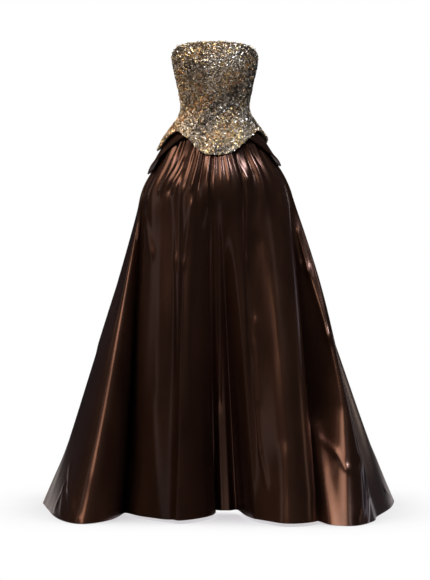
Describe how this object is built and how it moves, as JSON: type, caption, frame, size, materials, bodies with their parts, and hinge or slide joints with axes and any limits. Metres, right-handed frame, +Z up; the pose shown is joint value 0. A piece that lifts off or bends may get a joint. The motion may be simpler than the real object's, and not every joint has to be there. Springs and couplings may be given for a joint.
{
  "type": "strapless gown",
  "caption": "Strapless ball gown with an encrusted corset bodice, a flared scalloped basque, satin hip drapes and a full floor-length satin skirt, standing as worn and hollow.",
  "frame": {"origin": "centre of the narrowest ring of the waist, where the wearer holds the gown up", "axes": "+Z up, the front faces -Y, the wearer's left side is at +X"},
  "size_m": [1.0591, 1.107, 1.3858],
  "materials": {
    "encrusted_cloth": "cloth covered in small metallic sequins, bullion and beads in old gold, bronze and pewter",
    "satin": "dark brown duchess satin with a bronze sheen",
    "lining": "matt black lining"
  },
  "bodies": {
    "root": {"bodice_centre_front": "encrusted_cloth", "bodice_side_front_left": "encrusted_cloth", "bodice_side_front_right": "encrusted_cloth", "bodice_side_back_left": "encrusted_cloth", "bodice_side_back_right": "encrusted_cloth", "bodice_centre_back_left": "encrusted_cloth", "bodice_centre_back_right": "encrusted_cloth", "basque_lining_left": "lining", "basque_lining_right": "lining", "back_closure_underlap": "lining", "hip_drape_left": "satin", "hip_drape_right": "satin", "skirt_front": "satin", "skirt_side_left": "satin", "skirt_side_right": "satin", "skirt_back_left": "satin", "skirt_back_right": "satin"}
  },
  "joints": []
}
